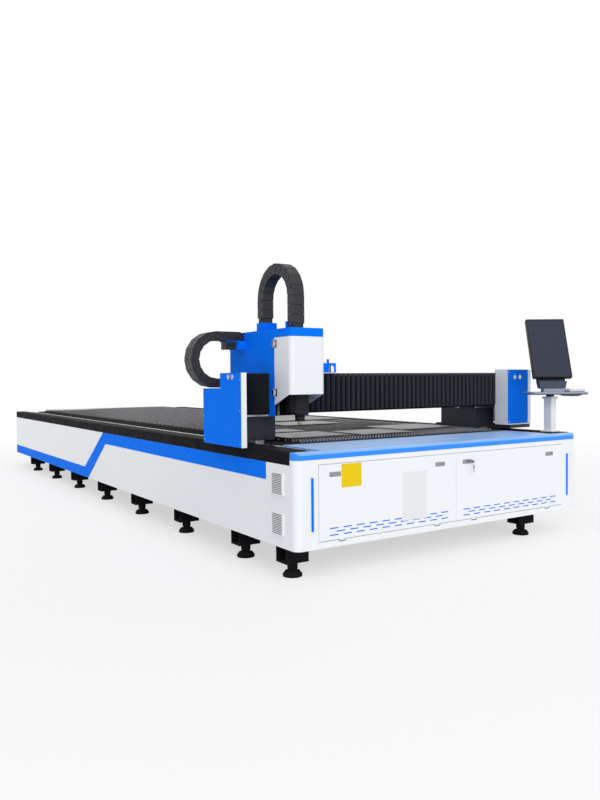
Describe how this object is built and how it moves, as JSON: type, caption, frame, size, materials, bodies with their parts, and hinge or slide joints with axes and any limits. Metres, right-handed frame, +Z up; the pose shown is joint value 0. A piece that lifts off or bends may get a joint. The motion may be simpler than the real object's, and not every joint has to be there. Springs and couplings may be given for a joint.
{
  "type": "fiber laser cutting machine",
  "caption": "Flatbed laser cutter: long sheet-metal bed with a sawtooth slat table, travelling gantry with bellows, cross carriage and cutting head, drag chains, front cabinet and swivel console.",
  "frame": {"origin": "on the floor under the middle of the bed", "axes": "+X to the right seen from the front, +Y to the rear along the bed, +Z up; the cabinet doors face -Y"},
  "size_m": [3.1218, 7.8502, 2.0627],
  "materials": {
    "white_paint": "satin powder coat",
    "blue_paint": "satin powder coat",
    "black_paint": "matt powder coat",
    "slat_steel": "hot-rolled, cut by laser",
    "machined_steel": "ground",
    "sheet_steel": "mill finish",
    "chrome": "plated",
    "chain_plastic": "moulded",
    "bellows_cloth": "coated cloth",
    "motor_black": "satin",
    "head_graphite": "anodised",
    "brass": "turned",
    "monitor_black": "gloss",
    "bracket_grey": "moulded",
    "screen_glass": "dark display",
    "control_white": "moulded"
  },
  "bodies": {
    "bed": {"bed_frame": "black_paint", "levelling_feet": "black_paint", "side_panel_left": "white_paint", "side_panel_right": "white_paint", "rear_panel": "white_paint", "blue_trim": "blue_paint", "front_cabinet": "white_paint", "vent_grilles": "white_paint", "front_rim": "blue_paint", "rail_beams": "black_paint", "y_tracks": "machined_steel", "slat_combs": "black_paint", "slats": "slat_steel", "table_plates": "sheet_steel", "door_hinge_brackets": "machined_steel", "console_post": "white_paint"},
    "door_left": {"door_left": "white_paint", "slot_backing_left": "blue_paint", "latch_housings_left": "chrome"},
    "door_right": {"door_right": "white_paint", "slot_backing_right": "blue_paint", "latch_housings_right": "chrome"},
    "latch_lever_1": {"latch_lever_1": "chrome"},
    "latch_lever_2": {"latch_lever_2": "chrome"},
    "latch_lever_3": {"latch_lever_3": "chrome"},
    "latch_lever_4": {"latch_lever_4": "chrome"},
    "key": {"key_set": "chrome"},
    "gantry": {"gantry_beam": "black_paint", "saddles": "black_paint", "bearing_blocks": "machined_steel", "x_tracks": "machined_steel", "end_cover_left": "blue_paint", "end_cover_right": "white_paint", "end_panel_right": "blue_paint", "y_motors": "motor_black", "chain_tray": "black_paint", "bellows_left": "bellows_cloth", "bellows_right": "bellows_cloth", "x_chain_lower": "chain_plastic"},
    "y_pinion_left": {"y_pinion_left": "machined_steel"},
    "y_pinion_right": {"y_pinion_right": "machined_steel"},
    "carriage": {"carriage_plate": "black_paint", "head_housing": "blue_paint", "x_chain_upper": "chain_plastic", "z_chain_arch": "chain_plastic", "valve_bracket": "blue_paint", "x_motor": "motor_black", "z_motor": "motor_black"},
    "x_pinion": {"x_pinion": "machined_steel"},
    "z_screw": {"z_screw": "machined_steel"},
    "x_loop": {"x_chain_loop": "chain_plastic"},
    "z_slide": {"z_plate": "head_graphite", "laser_head": "head_graphite", "nozzle": "brass"},
    "head_cover": {"head_cover": "white_paint"},
    "console": {"console_shelf": "white_paint", "monitor_bracket": "bracket_grey", "desk_controls": "control_white"},
    "monitor": {"monitor": "monitor_black", "monitor_screen": "screen_glass"}
  },
  "joints": [
    {"name": "gantry_travel", "type": "slide", "parent": "bed", "child": "gantry", "axis": [0, 1, 0], "range_m": [0, 6.2]},
    {"name": "cross_travel", "type": "slide", "parent": "gantry", "child": "carriage", "axis": [1, 0, 0], "range_m": [0, 1.85], "deforming": ["bellows_left", "bellows_right", "x_chain_lower", "x_chain_upper"]},
    {"name": "head_travel", "type": "slide", "parent": "carriage", "child": "z_slide", "axis": [0, 0, 1], "range_m": [-0.1, 0.02], "deforming": ["z_chain_arch"]},
    {"name": "chain_roll", "type": "slide", "parent": "carriage", "child": "x_loop", "axis": [1, 0, 0], "range_m": [-0.925, 0]},
    {"name": "y_pinion_left_spin", "type": "hinge", "parent": "gantry", "child": "y_pinion_left", "pos_m": [-1.183, -2.87, 0.782], "axis": [0, 0, 1], "range_deg": [-17800, 17800]},
    {"name": "y_pinion_right_spin", "type": "hinge", "parent": "gantry", "child": "y_pinion_right", "pos_m": [1.183, -2.87, 0.782], "axis": [0, 0, 1], "range_deg": [-17800, 17800]},
    {"name": "x_pinion_spin", "type": "hinge", "parent": "carriage", "child": "x_pinion", "pos_m": [-1, -3.058, 1.277], "axis": [0, 0, 1], "range_deg": [-5350, 50]},
    {"name": "z_screw_spin", "type": "hinge", "parent": "carriage", "child": "z_screw", "pos_m": [-1, -3.256, 1.0443], "axis": [0, 0, 1], "range_deg": [-4700, 740]},
    {"name": "head_cover_hinge", "type": "hinge", "parent": "carriage", "child": "head_cover", "pos_m": [-1.146, -3.314, 1.082], "axis": [0, 0, -1], "range_deg": [0, 95]},
    {"name": "door_left_hinge", "type": "hinge", "parent": "bed", "child": "door_left", "pos_m": [-0.59, -3.894, 0.239], "axis": [1, 0, 0], "range_deg": [0, 90]},
    {"name": "door_right_hinge", "type": "hinge", "parent": "bed", "child": "door_right", "pos_m": [0.585, -3.894, 0.239], "axis": [1, 0, 0], "range_deg": [0, 90]},
    {"name": "latch_lever_1_hinge", "type": "hinge", "parent": "door_left", "child": "latch_lever_1", "pos_m": [-1.089, -3.9005, 0.66], "axis": [0, 0, -1], "range_deg": [0, 40]},
    {"name": "latch_lever_2_hinge", "type": "hinge", "parent": "door_left", "child": "latch_lever_2", "pos_m": [-0.189, -3.9005, 0.66], "axis": [0, 0, -1], "range_deg": [0, 40]},
    {"name": "latch_lever_3_hinge", "type": "hinge", "parent": "door_right", "child": "latch_lever_3", "pos_m": [0.076, -3.9005, 0.66], "axis": [0, 0, -1], "range_deg": [0, 40]},
    {"name": "latch_lever_4_hinge", "type": "hinge", "parent": "door_right", "child": "latch_lever_4", "pos_m": [0.978, -3.9005, 0.66], "axis": [0, 0, -1], "range_deg": [0, 40]},
    {"name": "key_turn", "type": "hinge", "parent": "door_right", "child": "key", "pos_m": [0.141, -3.9053, 0.66], "axis": [0, -1, 0], "range_deg": [0, 90]},
    {"name": "console_swivel", "type": "hinge", "parent": "bed", "child": "console", "pos_m": [1.28, -3.7, 1.1], "axis": [0, 0, 1], "range_deg": [-20, 40]},
    {"name": "monitor_tilt", "type": "hinge", "parent": "console", "child": "monitor", "pos_m": [1.23751, -3.74156, 1.262], "axis": [0.8387, -0.5446, 0], "range_deg": [-10, 20]}
  ],
  "couplings": [
    {"joint": "chain_roll", "follows": "cross_travel", "ratio": -0.5},
    {"joint": "y_pinion_left_spin", "follows": "gantry_travel", "rad_per_m": 50},
    {"joint": "y_pinion_right_spin", "follows": "gantry_travel", "rad_per_m": -50},
    {"joint": "x_pinion_spin", "follows": "cross_travel", "rad_per_m": -50},
    {"joint": "z_screw_spin", "follows": "head_travel", "rad_per_m": 628.32}
  ]
}
